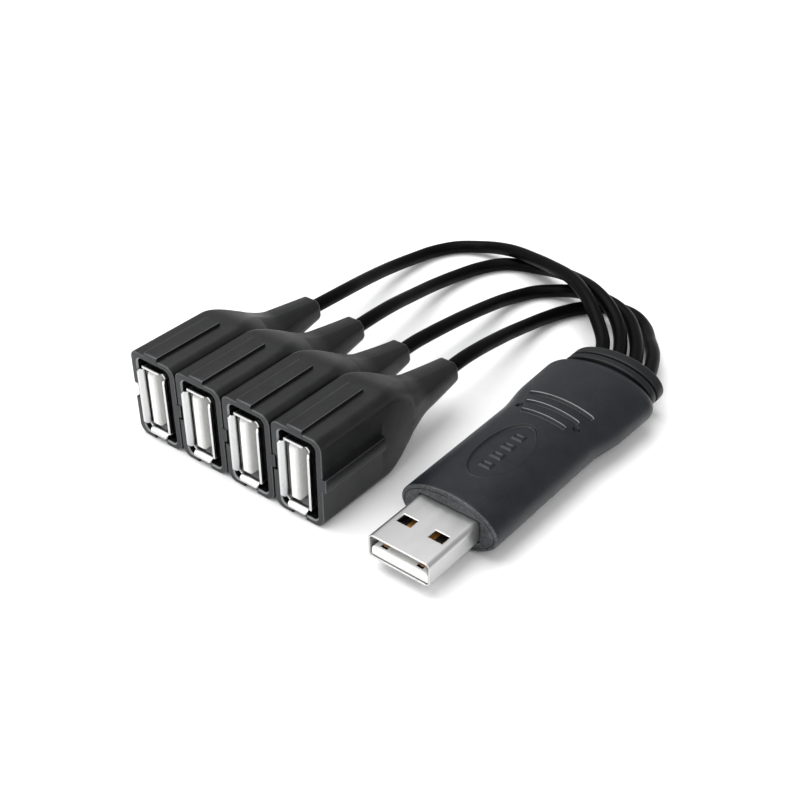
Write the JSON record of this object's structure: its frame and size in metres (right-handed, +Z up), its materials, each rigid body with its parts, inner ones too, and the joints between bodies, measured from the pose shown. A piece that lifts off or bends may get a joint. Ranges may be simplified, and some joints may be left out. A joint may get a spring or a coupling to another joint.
{
  "type": "usb hub",
  "caption": "Hub with an oval moulded body, a USB-A plug at its front, and flexible leads from its rear to upright USB-A sockets in interlocking boots.",
  "frame": {"origin": "on the table, under the middle of everything but the leads", "axes": "+Z up; the plug and the sockets face -Y; the sockets stand side by side along +X, and the hub is at the +X end"},
  "size_m": [0.073, 0.0967, 0.0182],
  "materials": {
    "hub_plastic": "satin moulded grain",
    "boot_plastic": "soft matte",
    "cable": "soft sheen",
    "inner_mould": "as moulded",
    "steel": "satin plated",
    "contact": "gold plated",
    "insulator": "smooth",
    "board": "solder mask",
    "chip": "moulded epoxy",
    "capacitor": "moulded case"
  },
  "bodies": {
    "hub": {"hub_sleeve": "hub_plastic", "hub_front_plate": "hub_plastic", "hub_cable_collar": "hub_plastic", "hub_inner_mould": "inner_mould", "hub_board": "board", "hub_chip": "chip", "hub_crystal": "steel", "hub_capacitor_1": "capacitor", "hub_capacitor_2": "capacitor", "plug_shell": "steel", "plug_insulator": "insulator", "plug_contact_1": "contact", "plug_contact_2": "contact", "plug_contact_3": "contact", "plug_contact_4": "contact", "cable_1": "cable", "cable_2": "cable", "cable_3": "cable", "cable_4": "cable"},
    "socket_1": {"socket_1_boot": "boot_plastic", "socket_1_inner_mould": "inner_mould", "socket_1_shell": "steel", "socket_1_tongue": "insulator", "socket_1_base": "insulator", "socket_1_contact_1": "contact", "socket_1_contact_2": "contact", "socket_1_contact_3": "contact", "socket_1_contact_4": "contact"},
    "socket_2": {"socket_2_boot": "boot_plastic", "socket_2_inner_mould": "inner_mould", "socket_2_shell": "steel", "socket_2_tongue": "insulator", "socket_2_base": "insulator", "socket_2_contact_1": "contact", "socket_2_contact_2": "contact", "socket_2_contact_3": "contact", "socket_2_contact_4": "contact"},
    "socket_3": {"socket_3_boot": "boot_plastic", "socket_3_inner_mould": "inner_mould", "socket_3_shell": "steel", "socket_3_tongue": "insulator", "socket_3_base": "insulator", "socket_3_contact_1": "contact", "socket_3_contact_2": "contact", "socket_3_contact_3": "contact", "socket_3_contact_4": "contact"},
    "socket_4": {"socket_4_boot": "boot_plastic", "socket_4_inner_mould": "inner_mould", "socket_4_shell": "steel", "socket_4_tongue": "insulator", "socket_4_base": "insulator", "socket_4_contact_1": "contact", "socket_4_contact_2": "contact", "socket_4_contact_3": "contact", "socket_4_contact_4": "contact"}
  },
  "joints": [
    {"name": "socket_1_slide", "type": "slide", "parent": "hub", "child": "socket_1", "axis": [0, -1, 0], "range_m": [0, 0.012], "deforming": ["cable_1"]},
    {"name": "socket_2_slide", "type": "slide", "parent": "hub", "child": "socket_2", "axis": [0, -1, 0], "range_m": [0, 0.012], "deforming": ["cable_2"]},
    {"name": "socket_3_slide", "type": "slide", "parent": "hub", "child": "socket_3", "axis": [0, -1, 0], "range_m": [0, 0.012], "deforming": ["cable_3"]},
    {"name": "socket_4_slide", "type": "slide", "parent": "hub", "child": "socket_4", "axis": [0, -1, 0], "range_m": [0, 0.012], "deforming": ["cable_4"]}
  ]
}
